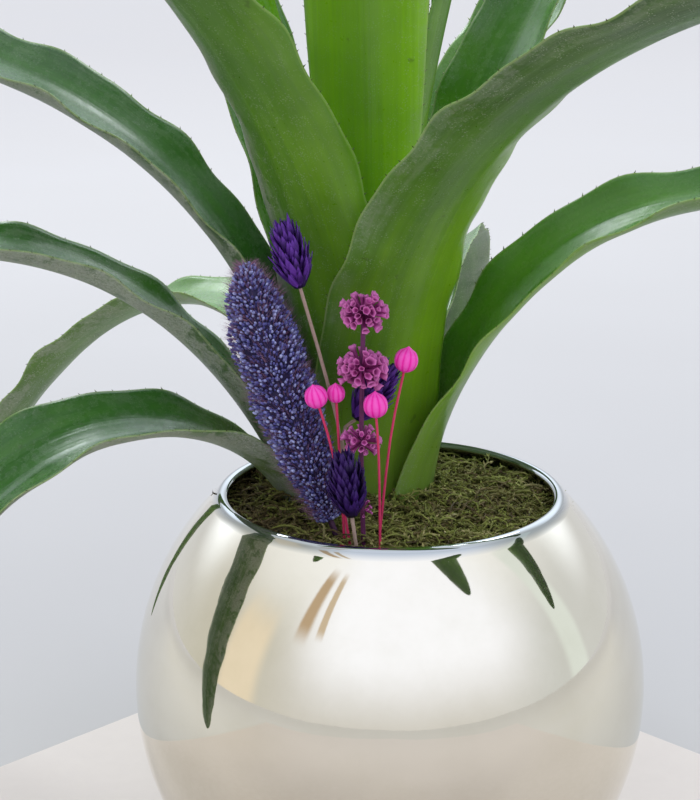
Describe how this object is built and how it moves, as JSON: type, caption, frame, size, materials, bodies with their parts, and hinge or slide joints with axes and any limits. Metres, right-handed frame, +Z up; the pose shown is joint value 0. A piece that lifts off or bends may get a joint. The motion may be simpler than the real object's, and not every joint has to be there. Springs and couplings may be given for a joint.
{
  "type": "potted bromeliad",
  "caption": "Bromeliad with a rosette of arching strap leaves in a round mirrored glass vase, with moss and upright dyed dried flowers in front of it.",
  "frame": {"origin": "centre of the vase's flat base, on the surface that it stands on", "axes": "+Z up; -Y is the front, where the dried flowers stand; +X is to the right as seen from the front"},
  "size_m": [0.6517, 0.5091, 0.5225],
  "materials": {
    "mirror_glass": "blown glass with a silvered mirror coating, polished lip",
    "mix_brown": null,
    "moss_green": null,
    "leaf_green": null,
    "foxtail_blue": "dyed dried foxtail seed head, matte bristles",
    "straw_violet": "dyed dried straw, matte",
    "canary_violet": "dyed dried canary grass scales, satin",
    "straw_beige": "dried straw, satin",
    "whorl_mauve": "dyed dried calyces, matte",
    "flax_pink": "dyed dried flax pod, satin",
    "stem_pink": "dyed dried flax stem, satin"
  },
  "bodies": {
    "root": {"vase": "mirror_glass", "potting_mix": "mix_brown", "moss": "moss_green", "stem_base": "leaf_green", "leaf_front_left_low": "leaf_green", "leaf_right_arching": "leaf_green", "leaf_left_middle": "leaf_green", "leaf_back_right_wide": "leaf_green", "leaf_front_right": "leaf_green", "leaf_back_left_hanging": "leaf_green", "leaf_left_upper": "leaf_green", "leaf_back_hanging": "leaf_green", "leaf_front_left": "leaf_green", "leaf_back_right_upper": "leaf_green", "leaf_back_left_upper": "leaf_green", "leaf_right_inner": "leaf_green", "leaf_front_centre": "leaf_green", "leaf_back_inner": "leaf_green", "leaf_left_inner": "leaf_green", "leaf_core": "leaf_green", "foxtail_stem": "straw_violet", "foxtail_head": "foxtail_blue", "canary_grass_stem_upper": "straw_beige", "canary_grass_head_upper": "canary_violet", "canary_grass_stem_middle": "straw_beige", "canary_grass_head_middle": "canary_violet", "canary_grass_stem_front": "straw_beige", "canary_grass_head_front": "canary_violet", "whorl_stem": "whorl_mauve", "whorl_top": "whorl_mauve", "whorl_upper": "whorl_mauve", "whorl_lower": "whorl_mauve", "whorl_lowest": "whorl_mauve", "flax_stem_right": "stem_pink", "flax_pod_right": "flax_pink", "flax_stem_centre": "stem_pink", "flax_pod_centre": "flax_pink", "flax_stem_left": "stem_pink", "flax_pod_left": "flax_pink", "flax_stem_left_behind": "stem_pink", "flax_pod_left_behind": "flax_pink"}
  },
  "joints": []
}
